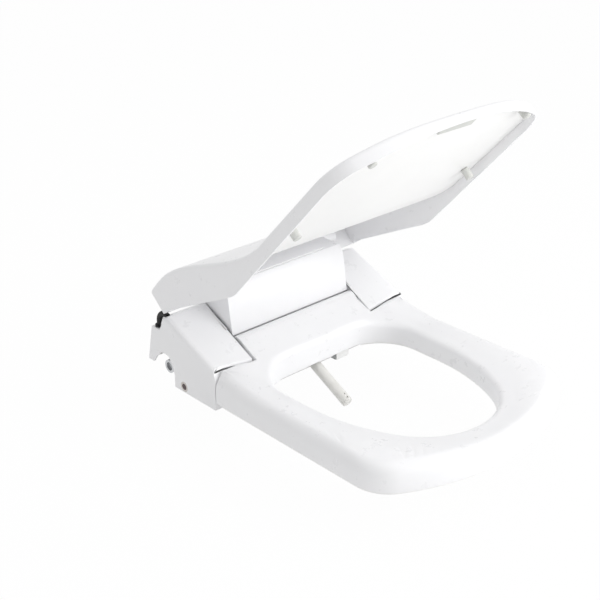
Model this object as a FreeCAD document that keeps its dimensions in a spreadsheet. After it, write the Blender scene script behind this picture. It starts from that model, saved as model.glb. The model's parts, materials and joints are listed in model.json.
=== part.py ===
import FreeCAD, Part
import math
import os
import re
import Sketcher

Vector = FreeCAD.Vector
doc = FreeCAD.newDocument("electric_bidet_seat")

# Frame: X to the right, -Y to the front of the seat, +Z up.
# The origin lies midway between the two bowl bolts, on the rim plane of the bowl.
sizes = {
    # overall
    "seat_width": 390,
    "seat_front": 452,
    "shoulder_front": 80,
    "housing_back": 77,
    "step_back": 65,
    "skin": 2.8,
    "slip": 0.5,
    # seat ring
    "seat_bottom": 8,
    "seat_top": 50,
    "seat_roof": 6,
    "seat_wall": 3,
    "seat_corner": 60,
    "seat_arc": 330,
    "hole_half": 135,
    "hole_rear": 91,
    "hole_corner": 68,
    "hole_straight": 205,
    "hole_front": 398,
    "hole_arc": 115,
    "bar_half": 118.5,
    "bar_thick": 12,
    "knuckle": 14,
    "seat_axis_front": 38,
    "seat_axis_up": 61,
    "seat_pin": 6,
    "foot_up": 8,
    "foot_radius": 11,
    "ramp_slope": 27.5,
    # lid
    "lid_front": 457,
    "lid_rim": 52.5,
    "lid_skin": 3.2,
    "lid_high": 158,
    "lid_low": 75,
    "lid_back": 55,
    "lid_axis_back": 40,
    "lid_axis_up": 138,
    "lid_pin": 4.5,
    "lid_boss": 10,
    "lid_open": 48,
    "lid_fall_front": 215,
    "lid_fall_back": 30,
    # housing
    "shoulder_inner": 121,
    "centre_half": 118,
    "shoulder_low": 62.7,
    "shoulder_high": 108.5,
    "shoulder_back": 34,
    "step_up": 82,
    "arch_foot": 14,
    "rear_floor": 23.5,
    "deck": 45.2,
    "hump_top": 147,
    "pan": 3,
    # bowl fixing
    "bolt_spacing": 155,
    "bolt_hole": 4.25,
    "plate_thick": 6,
    # nozzle
    "nozzle_slope": 27.5,
    "nozzle_radius": 8.5,
    "nozzle_length": 130,
    "nozzle_out": 70,
    "nozzle_mouth_front": 90,
    "nozzle_mouth_drop": 1.8,
    "pinion_teeth": 16,
    "tooth_module": 0.75,
    # water inlet
    "inlet_radius": 10.4,
    "inlet_back": 40,
    "inlet_up": 20,
    "inlet_end": 185,
    "hose_radius": 4.5,
    # fans and filter
    "fan_radius": 22,
    "filter_length": 62,
    # infra-red window
    "window_front": 8,
    "window_up": 9,
    "window_radius": 5,
}

sheet = doc.addObject("Spreadsheet::Sheet", "Sizes")
for row, (name, size) in enumerate(sizes.items(), start=1):
    sheet.set("A%d" % row, name)
    sheet.set("B%d" % row, str(size))
    sheet.setAlias("B%d" % row, name)
doc.recompute()

WORD = re.compile(r"[a-z]+(?:_[a-z]+)*")
nodes = []


def bound(text):
    """An expression with each size's name pointed at its cell."""
    def cell(match):
        word = match.group(0)
        return "Sizes." + word if word in sizes else word
    return WORD.sub(cell, str(text))


def number(text):
    return float(sheet.evalExpression(bound(text)))


def tie(thing, prop, text):
    thing.setExpression(prop, bound(text))


def place(thing, x, y, z):
    for axis, text in zip("xyz", (x, y, z)):
        tie(thing, "Placement.Base." + axis, text)


def moved(thing, placement):
    """Carries a piece from where it is drawn by a placement."""
    doc.recompute()
    for axis in "xyz":
        thing.setExpression("Placement.Base." + axis, None)
    thing.Placement = placement.multiply(thing.Placement)
    return thing


def keep(thing, label):
    """Marks a finished sub-part, which becomes a node of this name."""
    thing.Label = label
    nodes.append(thing)
    return thing


# ---- primitives between two expressions on each axis ----

def block(name, x, y, z):
    made = doc.addObject("Part::Box", name)
    for prop, span in zip(("Length", "Width", "Height"), (x, y, z)):
        tie(made, prop, "(%s) - (%s)" % (span[1], span[0]))
    place(made, x[0], y[0], z[0])
    return made


def rod(name, axis, radius, span, u, v):
    """A cylinder along X, Y or Z over a span, at u and v on the other two axes in order."""
    made = doc.addObject("Part::Cylinder", name)
    tie(made, "Radius", radius)
    tie(made, "Height", "(%s) - (%s)" % (span[1], span[0]))
    turn = {"X": (Vector(0, 1, 0), 90), "Y": (Vector(1, 0, 0), -90), "Z": (Vector(0, 0, 1), 0)}[axis]
    made.Placement = FreeCAD.Placement(Vector(), FreeCAD.Rotation(*turn))
    spots = {"X": (span[0], u, v), "Y": (u, span[0], v), "Z": (u, v, span[0])}[axis]
    place(made, *spots)
    return made


def join(name, *pieces):
    made = doc.addObject("Part::MultiFuse", name)
    made.Shapes = list(pieces)
    return made


def cut(name, base, *tools):
    made = doc.addObject("Part::Cut", name)
    made.Base = base
    made.Tool = tools[0] if len(tools) == 1 else join(name + "_tools", *tools)
    return made


def common(name, first, second):
    made = doc.addObject("Part::Common", name)
    made.Base = first
    made.Tool = second
    return made


def group(name, *pieces):
    made = doc.addObject("Part::Compound", name)
    made.Links = list(pieces)
    return made


def tube(name, axis, outer, inner, span, u, v):
    return cut(name, rod(name + "_outer", axis, outer, span, u, v),
               rod(name + "_bore", axis, inner, ("(%s) - 1" % span[0], "(%s) + 1" % span[1]), u, v))


# ---- sketches ----

def body(label):
    return doc.addObject("PartDesign::Body", label)


def sketch(owner, name, plane, lift="0"):
    """A sketch on a body's own origin plane, or a loose one where owner is None."""
    if owner is None:
        made = doc.addObject("Sketcher::SketchObject", name)
        turns = {"XY_Plane": FreeCAD.Rotation(), "YZ_Plane": FreeCAD.Rotation(0.5, 0.5, 0.5, 0.5)}
        made.Placement = FreeCAD.Placement(Vector(), turns[plane])
        axis = {"XY_Plane": "z", "YZ_Plane": "x"}[plane]
        tie(made, "Placement.Base." + axis, lift)
        return made
    made = owner.newObject("Sketcher::SketchObject", name)
    face = [item for item in owner.Origin.OriginFeatures if item.Role == plane][0]
    made.AttachmentSupport = [(face, "")]
    made.MapMode = "FlatFace"
    tie(made, "AttachmentOffset.Base.z", lift)
    return made


def limit(drawn, kind, geometry, point, text):
    """Ties one coordinate of a sketch point to an expression."""
    size = number(text)
    if abs(size) < 1e-9:
        axis = -2 if kind == "DistanceX" else -1
        drawn.addConstraint(Sketcher.Constraint("PointOnObject", geometry, point, axis))
        return
    index = drawn.addConstraint(Sketcher.Constraint(kind, geometry, point, size))
    drawn.setExpression("Constraints[%d]" % index, bound(text))


def radius(drawn, geometry, text):
    index = drawn.addConstraint(Sketcher.Constraint("Radius", geometry, number(text)))
    drawn.setExpression("Constraints[%d]" % index, bound(text))


def profile(drawn, corners):
    """A closed outline. A corner with a third value starts an arc whose centre has that x."""
    spots = [Vector(number(corner[0]), number(corner[1]), 0) for corner in corners]
    start = drawn.GeometryCount
    ends = []
    for index, corner in enumerate(corners):
        here, there = spots[index], spots[(index + 1) % len(spots)]
        if len(corner) == 2:
            drawn.addGeometry(Part.LineSegment(here, there))
            ends.append((1, 2))
            continue
        middle = number(corner[2])
        rise = (there.x - middle) ** 2 - (here.x - middle) ** 2 + there.y ** 2 - here.y ** 2
        centre = Vector(middle, rise / (2 * (there.y - here.y)), 0)
        arms = here - centre, there - centre
        turns = [math.atan2(arm.y, arm.x) for arm in arms]
        left = arms[0].x * arms[1].y - arms[0].y * arms[1].x > 0
        if not left:
            turns.reverse()
        circle = Part.Circle(centre, Vector(0, 0, 1), arms[0].Length)
        drawn.addGeometry(Part.ArcOfCircle(circle, turns[0], turns[1]))
        ends.append((1, 2) if left else (2, 1))
    for index, corner in enumerate(corners):
        after = (index + 1) % len(corners)
        drawn.addConstraint(Sketcher.Constraint(
            "Coincident", start + index, ends[index][1], start + after, ends[after][0]))
        limit(drawn, "DistanceX", start + index, ends[index][0], corner[0])
        limit(drawn, "DistanceY", start + index, ends[index][0], corner[1])
        if len(corner) == 3:
            limit(drawn, "DistanceX", start + index, 3, corner[2])
    return drawn


def arc(drawn, centre, size, first, last):
    circle = Part.Circle(Vector(centre[0], centre[1], 0), Vector(0, 0, 1), size)
    return drawn.addGeometry(Part.ArcOfCircle(circle, first, last))


def outline(drawn, half, tip, rear, corner, front):
    """The square-fronted plan: straight sides, two corner arcs and a shallow front arc."""
    wide, nose, back = number(half), number(tip), number(rear)
    small, large = number(corner), number(front)
    middle = nose + large
    side = wide - small
    drop = math.sqrt((large - small) ** 2 - side ** 2)
    level = middle - drop
    turn = math.atan2(-drop, side)
    base = drawn.addGeometry(Part.LineSegment(Vector(wide, back, 0), Vector(wide, level, 0)))
    arc(drawn, (side, level), small, turn, 0)
    arc(drawn, (0, middle), large, math.pi - turn, 2 * math.pi + turn)
    arc(drawn, (-side, level), small, math.pi, math.pi - turn)
    drawn.addGeometry(Part.LineSegment(Vector(-wide, level, 0), Vector(-wide, back, 0)))
    drawn.addGeometry(Part.LineSegment(Vector(-wide, back, 0), Vector(wide, back, 0)))
    for one, end, other, start in ((0, 2, 1, 2), (1, 1, 2, 2), (2, 1, 3, 2), (3, 1, 4, 1)):
        drawn.addConstraint(Sketcher.Constraint("Tangent", base + one, end, base + other, start))
    drawn.addConstraint(Sketcher.Constraint("Coincident", base + 4, 2, base + 5, 1))
    drawn.addConstraint(Sketcher.Constraint("Coincident", base + 5, 2, base, 1))
    drawn.addConstraint(Sketcher.Constraint("Vertical", base))
    drawn.addConstraint(Sketcher.Constraint("Vertical", base + 4))
    drawn.addConstraint(Sketcher.Constraint("Horizontal", base + 5))
    limit(drawn, "DistanceX", base + 5, 2, half)
    limit(drawn, "DistanceX", base + 5, 1, "-(%s)" % half)
    limit(drawn, "DistanceY", base + 5, 1, rear)
    radius(drawn, base + 1, corner)
    radius(drawn, base + 3, corner)
    radius(drawn, base + 2, front)
    limit(drawn, "DistanceX", base + 2, 3, "0")
    limit(drawn, "DistanceY", base + 2, 3, "(%s) + (%s)" % (tip, front))
    return drawn


def opening(drawn, grow):
    """The egg-shaped hole of the ring, larger all round by grow."""
    half = "hole_half + (%s)" % grow
    back = "(%s) - hole_rear" % grow
    corner = "hole_corner + (%s)" % grow
    front = "hole_arc + (%s)" % grow
    tip = "-hole_front - (%s)" % grow
    wide, rear, small = number(half), number(back), number(corner)
    large, straight = number(front), -number("hole_straight")
    middle = number(tip) + large
    fall = middle - straight
    side = (wide ** 2 + fall ** 2 - large ** 2) / (2 * (wide - large))
    turn = math.atan2(fall, side - wide)
    flat = wide - small
    level = rear - small
    base = drawn.addGeometry(Part.LineSegment(Vector(-flat, rear, 0), Vector(flat, rear, 0)))
    arc(drawn, (flat, level), small, 0, math.pi / 2)
    drawn.addGeometry(Part.LineSegment(Vector(wide, level, 0), Vector(wide, straight, 0)))
    arc(drawn, (wide - side, straight), side, turn, 0)
    arc(drawn, (0, middle), large, math.pi - turn, 2 * math.pi + turn)
    arc(drawn, (side - wide, straight), side, math.pi, math.pi - turn)
    drawn.addGeometry(Part.LineSegment(Vector(-wide, straight, 0), Vector(-wide, level, 0)))
    arc(drawn, (-flat, level), small, math.pi / 2, math.pi)
    joints = ((0, 2, 1, 2), (1, 1, 2, 1), (2, 2, 3, 2), (3, 1, 4, 2),
              (4, 1, 5, 2), (5, 1, 6, 1), (6, 2, 7, 2), (7, 1, 0, 1))
    for one, end, other, start in joints:
        drawn.addConstraint(Sketcher.Constraint("Tangent", base + one, end, base + other, start))
    drawn.addConstraint(Sketcher.Constraint("Horizontal", base))
    drawn.addConstraint(Sketcher.Constraint("Vertical", base + 2))
    drawn.addConstraint(Sketcher.Constraint("Vertical", base + 6))
    radius(drawn, base + 1, corner)
    radius(drawn, base + 7, corner)
    radius(drawn, base + 4, front)
    limit(drawn, "DistanceX", base + 4, 3, "0")
    limit(drawn, "DistanceY", base + 4, 3, "(%s) + (%s)" % (tip, front))
    limit(drawn, "DistanceY", base, 1, back)
    limit(drawn, "DistanceX", base + 2, 1, half)
    limit(drawn, "DistanceX", base + 6, 1, "-(%s)" % half)
    limit(drawn, "DistanceY", base + 2, 2, "-hole_straight")
    limit(drawn, "DistanceY", base + 6, 1, "-hole_straight")
    return drawn


def disc(drawn, x, y, size):
    """A circle at a place that expressions give."""
    spot = Vector(number(x), number(y), 0)
    index = drawn.addGeometry(Part.Circle(spot, Vector(0, 0, 1), number(size)))
    radius(drawn, index, size)
    limit(drawn, "DistanceX", index, 3, x)
    limit(drawn, "DistanceY", index, 3, y)
    return drawn


def rectangle(drawn, x, y):
    return profile(drawn, [(x[0], y[0]), (x[1], y[0]), (x[1], y[1]), (x[0], y[1])])


def pad(owner, name, drawn, length, both=False):
    made = owner.newObject("PartDesign::Pad", name)
    made.Profile = drawn
    made.SideType = "Symmetric" if both else "One side"
    tie(made, "Length", length)
    return made


def pocket(owner, name, drawn, length, both=False, upward=True):
    """A pocket that cuts towards the sketch's normal, unless upward is False."""
    doc.recompute()
    before = owner.Shape.Volume
    made = owner.newObject("PartDesign::Pocket", name)
    made.Profile = drawn
    made.SideType = "Symmetric" if both else "One side"
    made.Reversed = upward
    tie(made, "Length", length)
    doc.recompute()
    if owner.Shape.Volume > before - 1e-6:
        raise RuntimeError(name + " cut nothing")
    return made


def extrude(name, drawn, length, both=False):
    made = doc.addObject("Part::Extrusion", name)
    made.Base = drawn
    made.DirMode = "Normal"
    made.Solid = True
    made.Symmetric = both
    tie(made, "LengthFwd", length)
    return made


# ---- seat ----

seat_half = "seat_width / 2"
ring_back = "-shoulder_front - 1.5"
axis_y = "-seat_axis_front"
axis_z = "seat_axis_up"
# tangent point of the ramp on the knuckle, and the ramp's fall in front of it
ramp_y = "(-seat_axis_front - knuckle * sin(ramp_slope))"
ramp_z = "(seat_axis_up + knuckle * cos(ramp_slope))"


def ramp(y, depth="0"):
    """Height of the seat's rear ramp at y, or of a face a depth below it."""
    return "%s - (%s - (%s)) * tan(ramp_slope) - (%s) / cos(ramp_slope)" % (ramp_z, ramp_y, y, depth)


def seat_top_shell():
    shell = body("seat_top_shell_body")
    lower = "(seat_bottom + 4)"
    drawn = sketch(shell, "seat_plan", "XY_Plane", lower)
    outline(drawn, seat_half, "-seat_front", ring_back, "seat_corner", "seat_arc")
    opening(drawn, "0")
    pad(shell, "seat_ring", drawn, "seat_top - " + lower)
    drawn = sketch(shell, "seat_cavity_plan", "XY_Plane", lower)
    outline(drawn, seat_half + " - seat_wall", "seat_wall - seat_front", ring_back + " - seat_wall",
            "seat_corner - seat_wall", "seat_arc - seat_wall")
    opening(drawn, "seat_wall")
    pocket(shell, "seat_cavity", drawn, "seat_top - seat_roof - " + lower)
    drawn = sketch(shell, "seat_bar_side", "YZ_Plane")
    start = "%s - (%s - seat_top) / tan(ramp_slope)" % (ramp_y, ramp_z)
    under_y = "%s + bar_thick * sin(ramp_slope)" % ramp_y
    under_z = "%s - bar_thick * cos(ramp_slope)" % ramp_z
    front = "-shoulder_front - 4"
    profile(drawn, [(start, "seat_top"), (front, ramp(front, "bar_thick")), (under_y, under_z),
                    (ramp_y, ramp_z)])
    pad(shell, "seat_bar", drawn, "2 * bar_half", both=True)
    drawn = sketch(shell, "seat_knuckle_side", "YZ_Plane")
    disc(drawn, axis_y, axis_z, "knuckle")
    pad(shell, "seat_knuckle", drawn, "2 * bar_half", both=True)
    drawn = sketch(shell, "seat_bore_side", "YZ_Plane")
    disc(drawn, axis_y, axis_z, "seat_pin + 0.06")
    pocket(shell, "seat_bore", drawn, "2 * bar_half + 2", both=True)
    drawn = sketch(shell, "nozzle_notch_plan", "XY_Plane", "seat_bottom")
    rectangle(drawn, ("-nozzle_radius - 4", "nozzle_radius + 4"),
              ("-hole_rear - 2", "-shoulder_front + 2"))
    pocket(shell, "nozzle_notch", drawn, "9")
    return keep(shell, "seat_top_shell")


def seat_bottom_shell():
    shell = body("seat_bottom_shell_body")
    drawn = sketch(shell, "seat_base_plan", "XY_Plane", "seat_bottom")
    inset = "(seat_wall + 0.3)"
    outline(drawn, "%s - %s" % (seat_half, inset), inset + " - seat_front", ring_back + " - 9",
            "seat_corner - " + inset, "seat_arc - " + inset)
    pad(shell, "seat_base", drawn, "4 - 0.1")
    drawn = sketch(shell, "seat_base_hole", "XY_Plane", "seat_bottom - 1")
    opening(drawn, inset)
    pocket(shell, "seat_base_opening", drawn, "8")
    return keep(shell, "seat_bottom_shell")


def seat_heater_foil():
    foil = body("seat_heater_foil_body")
    drawn = sketch(foil, "foil_plan", "XY_Plane", "seat_top - seat_roof - 0.7")
    inset = "(seat_wall + 3)"
    outline(drawn, "%s - %s" % (seat_half, inset), inset + " - seat_front", ring_back + " - 14",
            "seat_corner - " + inset, "seat_arc - " + inset)
    pad(foil, "foil_sheet", drawn, "0.6")
    drawn = sketch(foil, "foil_hole", "XY_Plane", "seat_top - seat_roof - 2")
    opening(drawn, inset)
    pocket(foil, "foil_opening", drawn, "4")
    return keep(foil, "seat_heater_foil")


def seat_fittings():
    feet = []
    for side in (-1, 1):
        for index, (x, y) in enumerate((("seat_width / 2 - 30", "-hole_rear - 70"),
                                        ("seat_width / 2 - 60", "-seat_front + 85"))):
            place_x = "(%s) * %d" % (x, side)
            feet.append(rod("foot_%d_%d" % (index, side + 1), "Z", "foot_radius",
                            ("seat_bottom - foot_up + 0.2", "seat_bottom"), place_x, y))
    keep(group("feet", *feet), "seat_bumpers")
    keep(block("sensor", ("-seat_width / 2 + 20", "-seat_width / 2 + 44"),
               ("-hole_rear - 120", "-hole_rear - 84"), ("seat_bottom + 4.2", "seat_bottom + 12")),
         "occupancy_sensor")


# ---- seat and lid hinges ----

def hinges():
    pins = []
    for side, span in ((0, ("-bar_half - 22", "-bar_half + 24")), (1, ("bar_half - 24", "bar_half + 22"))):
        pins.append(rod("seat_pin_%d" % side, "X", "seat_pin", span, axis_y, axis_z))
    keep(group("seat_pins", *pins), "seat_hinge_pins")
    keep(tube("seat_damper", "X", "seat_pin + 5", "seat_pin + 0.05",
              ("-shoulder_inner - skin - 40.2", "-shoulder_inner - skin - 0.2"), axis_y, axis_z),
         "seat_damper")
    keep(tube("seat_pin_bearing", "X", "seat_pin + 5", "seat_pin + 0.05",
              ("shoulder_inner + skin + 0.2", "shoulder_inner + skin + 14.2"), axis_y, axis_z),
         "seat_pin_bearing")
    keep(rod("lid_shaft", "X", "lid_pin", ("-centre_half - 32", "centre_half + 32"),
             "lid_axis_back", "lid_axis_up"), "lid_hinge_shaft")
    keep(tube("lid_damper", "X", "lid_pin + 1.6", "lid_pin + 0.06",
              ("-centre_half + skin + 0.3", "-centre_half + skin + 50"),
              "lid_axis_back", "lid_axis_up"), "lid_damper")


# ---- lid, drawn closed and then turned open ----

curve_front = "-lid_fall_front"
curve_back = "lid_fall_back"


def lid_side(name, drop, rim, front, back, nose=3):
    """The lid's side view, lowered by drop: a flat rear, an S-shaped fall and a flat front."""
    high, low = "lid_high - (%s)" % drop, "lid_low - (%s)" % drop
    middle = "((%s) + (%s)) / 2" % (curve_back, curve_front)
    drawn = sketch(None, name, "YZ_Plane")
    if rim is None:
        edge = [(back, "-20"), (front, "-20")]
        corners = [edge[0], (back, high), (curve_back, high, curve_back),
                   (middle, "((%s) + (%s)) / 2" % (high, low), curve_front), (curve_front, low),
                   ("30 - lid_front", "lid_low - 2.5 - (%s)" % drop),
                   (front, "lid_low - %s - (%s)" % (nose, drop)), edge[1]]
        return profile(drawn, corners)
    corners = [(back, "lid_axis_up - 22"), (back, "lid_high - 10"), ("lid_back - 9", high),
               (curve_back, high, curve_back), (middle, "((%s) + (%s)) / 2" % (high, low), curve_front),
               (curve_front, low), ("30 - lid_front", "lid_low - 2.5"), (front, "lid_low - 9"),
               (front, rim), ("-shoulder_front - 45", rim),
               ("-shoulder_front", "shoulder_low + 3.3"), ("shoulder_back", "shoulder_high + 3.1")]
    return profile(drawn, corners)


def opened(thing):
    """Turns a piece of the closed lid to the open angle that it rests at."""
    hinge = Vector(0, number("lid_axis_back"), number("lid_axis_up"))
    turn = FreeCAD.Rotation(Vector(1, 0, 0), -number("lid_open"))
    return moved(thing, FreeCAD.Placement(hinge - turn.multVec(hinge), turn))


def lid_plan(name, inset, rear):
    drawn = sketch(None, name, "XY_Plane", "-10")
    outline(drawn, "%s - (%s)" % (seat_half, inset), "(%s) - lid_front" % inset, rear,
            "seat_corner - (%s)" % inset, "seat_arc - (%s)" % inset)
    return drawn


def lid_outer_shell():
    outer = common("lid_outside", extrude("lid_plan_block", lid_plan("lid_plan", "0", "lid_back"), "200"),
                   extrude("lid_side_block", lid_side("lid_side", "0", "lid_rim", "-lid_front", "lid_back"),
                           "seat_width", both=True))
    inner = common("lid_inside", extrude("lid_inner_plan_block",
                                         lid_plan("lid_inner_plan", "lid_skin", "lid_back - lid_skin"), "200"),
                   extrude("lid_inner_side_block",
                           lid_side("lid_inner_side", "lid_skin", None, "lid_skin - lid_front",
                                    "lid_back - lid_skin", nose=9), "seat_width", both=True))
    bosses = []
    for side, span in ((0, ("-centre_half - 32", "-centre_half - 4.5")),
                       (1, ("centre_half + 4.5", "centre_half + 32"))):
        bosses.append(rod("lid_boss_%d" % side, "X", "lid_boss", span, "lid_axis_back", "lid_axis_up"))
        bosses.append(block("lid_web_%d" % side, span, ("lid_axis_back - 9", "lid_axis_back + 7"),
                            ("lid_axis_up", "lid_high - lid_skin + 1")))
    shell = join("lid_shell_and_arms", cut("lid_shell", outer, inner), *bosses)
    bore = rod("lid_bore", "X", "lid_pin + 0.05", ("-centre_half - 40", "centre_half + 40"),
               "lid_axis_back", "lid_axis_up")
    gap = block("lid_hump_gap", ("-centre_half - 3", "centre_half + 3"),
                ("lid_axis_back + 1", "lid_back + 5"), ("100", "lid_high + 5"))
    return keep(opened(cut("lid_outer", shell, bore, gap)), "lid_outer_shell")


def lid_inner_panel():
    inset = "lid_skin + 0.4"
    sheet_block = extrude("panel_plan_block", lid_plan("panel_plan", inset, "-45"), "200")
    above = lid_side("panel_upper_side", "12", None, "-lid_front", "lid_back")
    below = lid_side("panel_lower_side", "14", None, "-lid_front - 5", "lid_back + 5")
    slab = cut("panel_slab", extrude("panel_upper", above, "seat_width", both=True),
               extrude("panel_lower", below, "seat_width + 4", both=True))
    return keep(opened(common("panel", sheet_block, slab)), "lid_inner_panel")


def lid_fittings():
    pads = []
    for side in (-1, 1):
        for index, y in enumerate(("-seat_front + 40", "-hole_straight - 50")):
            x = "(seat_width / 2 - %d) * %d" % (50 if index == 0 else 28, side)
            pads.append(rod("lid_buffer_%d_%d" % (index, side + 1), "Z", "6",
                            ("seat_top + 0.4", "lid_low - %s" % (16.9 if index == 0 else 14.9)), x, y))
    keep(opened(group("lid_pads", *pads)), "lid_buffers")
    keep(opened(block("lid_tip_pad", ("-32", "32"), ("-lid_front + 9", "-lid_front + 37"),
                      ("lid_low - 20.5", "lid_low - 17.2"))), "lid_front_pad")


# ---- housing ----

def shoulder_outside(drawn):
    """Side view of a shoulder with its sloping top, rear step and arched foot."""
    return profile(drawn, [
        ("-shoulder_front", "0"),
        ("-shoulder_front", "shoulder_low - 10"),
        ("-shoulder_front + 6", "shoulder_low + 1"),
        ("shoulder_back - 3", "shoulder_high - 1.2"),
        ("shoulder_back + 9", "shoulder_high - 6"),
        ("step_back - 18", "shoulder_high - 15"),
        ("step_back - 18", "step_up"),
        ("step_back", "step_up"),
        ("housing_back", "rear_floor"),
        ("step_back - 1", "rear_floor"),
        ("step_back - 8", "rear_floor + 10.5"),
        ("step_back - 21", "rear_floor + 23"),
        ("arch_foot + 14", "rear_floor + 22.5"),
        ("arch_foot + 3", "rear_floor + 8"),
        ("arch_foot", "rear_floor - 4"),
        ("arch_foot", "0")])


def shoulder_inside(drawn, front="skin - shoulder_front"):
    """The hollow of a shoulder, open below; front moves its front end back."""
    slope = "((shoulder_high - shoulder_low - 2.2) / (shoulder_back + shoulder_front - 9))"
    start = "(shoulder_low + 1 - skin + %s * (%s + shoulder_front - 6))" % (slope, front)
    return profile(drawn, [
        (front, "-10"),
        (front, start),
        ("shoulder_back - 3 - skin / 2", "shoulder_high - 1.2 - skin"),
        ("shoulder_back + 9 - skin", "shoulder_high - 6 - skin"),
        ("step_back - 18 - skin", "shoulder_high - 15 - skin"),
        ("step_back - 18 - skin", "step_up - skin"),
        ("step_back - skin", "step_up - skin"),
        ("housing_back - skin", "rear_floor"),
        ("housing_back - skin", "-10")])


def side_cover(label, outer, inner):
    """A shoulder and side panel in one moulding, open below and towards the middle."""
    left = number(outer) < 0
    low = outer if left else inner
    cover = body(label + "_body")
    drawn = sketch(cover, label + "_side", "YZ_Plane", low)
    shoulder_outside(drawn)
    pad(cover, label + "_block", drawn, "seat_width / 2 - shoulder_inner")
    drawn = sketch(cover, label + "_hollow_side", "YZ_Plane", low + " + skin")
    shoulder_inside(drawn)
    pocket(cover, label + "_hollow", drawn, "seat_width / 2 - shoulder_inner - 2 * skin")
    wall = "(%s - 0.5)" % inner if not left else "(%s - skin - 0.5)" % inner
    drawn = sketch(cover, label + "_opening_side", "YZ_Plane", wall)
    shoulder_inside(drawn, "knuckle + 4 - seat_axis_front")
    pocket(cover, label + "_inner_opening", drawn, "skin + 1")
    drawn = sketch(cover, label + "_pan_side", "YZ_Plane", wall)
    rectangle(drawn, ("-shoulder_front + skin", "arch_foot"), ("-1", "pan + 0.3"))
    pocket(cover, label + "_pan_slot", drawn, "skin + 1")
    drawn = sketch(cover, label + "_pin_side", "YZ_Plane", wall)
    disc(drawn, axis_y, axis_z, "seat_pin + 0.05")
    pocket(cover, label + "_pin_hole", drawn, "skin + 1")
    if left:
        drawn = sketch(cover, label + "_window_side", "YZ_Plane", outer + " - 1")
        disc(drawn, "-window_front", "window_up", "window_radius + 3.05")
        pocket(cover, label + "_window_hole", drawn, "skin + 2")
        tool = hose_shape("hose_clearance", "hose_radius + 0.4")
        return keep(cut(label, cover, tool), label)
    drawn = sketch(cover, label + "_filter_side", "YZ_Plane", outer + " - skin - 1")
    rectangle(drawn, ("-50.5", "-19.5"), ("7.5", "38.5"))
    pocket(cover, label + "_filter_opening", drawn, "skin + 2")
    drawn = sketch(cover, label + "_button_side", "YZ_Plane", outer + " - skin - 1")
    disc(drawn, "-5", "13.5", "8.4")
    pocket(cover, label + "_button_hole", drawn, "skin + 2")
    return keep(cover, label)


hose_x = "-seat_width / 2 + 9"
hose_y = "step_back - 8.5"
hose_z = "step_up + 10"
hose_bend = "14"


def hose_shape(name, size):
    """A short hose that rises behind the corner of the shoulder and curls over into it."""
    bend = doc.addObject("Part::Torus", name + "_bend")
    tie(bend, "Radius1", hose_bend)
    tie(bend, "Radius2", size)
    bend.Angle3 = 115
    bend.Placement = FreeCAD.Placement(Vector(), FreeCAD.Rotation(0.5, 0.5, 0.5, 0.5))
    place(bend, hose_x, "%s - %s" % (hose_y, hose_bend), hose_z)
    rise = rod(name + "_rise", "Z", size, ("step_up - skin - 4", hose_z), hose_x, hose_y)
    return join(name, bend, rise)


def centre_cover():
    """Nozzle bay, pocket for the seat's knuckle and the hump above it, in one shell."""
    cover = body("centre_cover_body")
    front = "-shoulder_front + 1"
    pocket_y = "knuckle + 2 - seat_axis_front"
    hump_z = "seat_axis_up + 12.5"
    drawn = sketch(cover, "centre_side", "YZ_Plane")
    profile(drawn, [
        (front, "pan + 0.2"), (front, "28"), ("-58", "deck"), (pocket_y, "deck"), (pocket_y, hump_z),
        ("9.7 - seat_axis_front", hump_z), ("-19", "hump_top - 13"), ("-10", "hump_top"),
        ("lid_axis_back + 6", "hump_top"), ("lid_axis_back + 11", "lid_axis_up + 4"),
        ("lid_axis_back + 12", "lid_axis_up"), ("lid_axis_back + 12", "step_up + 0.3"),
        ("lid_axis_back + 20", "rear_floor + pan + 0.3"), ("arch_foot - pan - 0.5", "rear_floor + pan + 0.3"),
        ("arch_foot - pan - 0.5", "pan + 0.2")])
    pad(cover, "centre_block", drawn, "2 * centre_half", both=True)
    drawn = sketch(cover, "centre_hollow_side", "YZ_Plane")
    back = "lid_axis_back + 12 - skin"
    profile(drawn, [
        (front + " + skin", "-10"), (front + " + skin", "28 - skin / 2"),
        ("-58 + skin / 3", "deck - skin"), (pocket_y + " + skin", "deck - skin"),
        (pocket_y + " + skin", hump_z + " + skin"),
        ("9.7 - seat_axis_front + skin * 1.15", hump_z + " + skin"),
        ("-19 + skin", "hump_top - 13 - skin / 2"), ("-10 + skin / 2", "hump_top - skin"),
        ("lid_axis_back + 6 - skin / 2", "hump_top - skin"),
        ("lid_axis_back + 11 - skin", "lid_axis_up + 4 - skin / 2"), (back, "lid_axis_up - 1"),
        (back, "step_up + 0.2"), ("lid_axis_back + 40", "step_up + 0.2"), ("lid_axis_back + 40", "-10")])
    pocket(cover, "centre_hollow", drawn, "2 * (centre_half - skin)", both=True)
    shaft_way = rod("lid_shaft_way", "X", "lid_pin + 0.06", ("-centre_half - 5", "centre_half + 5"),
                    "lid_axis_back", "lid_axis_up")
    hose_way = rod("tank_hose_way", "X", "4.05", ("-centre_half - 5", "-centre_half + 10"), "34", "40")
    return keep(cut("centre_cover", cover, shaft_way, hose_way, nozzle_way("centre_nozzle_way"),
                    duct_way("centre_duct_way")), "centre_cover")


def duct_way(name):
    return block(name, ("42.4", "71.6"), ("-shoulder_front - 2", "-55"), ("-7", "8"))


def nozzle_way(name):
    return tilted(rod(name, "Y", "nozzle_radius + 0.8", ("2", "nozzle_length + 10"), "0", "0"))


def tilted(thing):
    """Puts a piece drawn along Y on the nozzle's slope; y = 0 is the mouth."""
    turn = FreeCAD.Rotation(Vector(1, 0, 0), number("nozzle_slope"))
    mouth = Vector(0, -number("nozzle_mouth_front"), -number("nozzle_mouth_drop"))
    return moved(thing, FreeCAD.Placement(mouth, turn))


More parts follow.
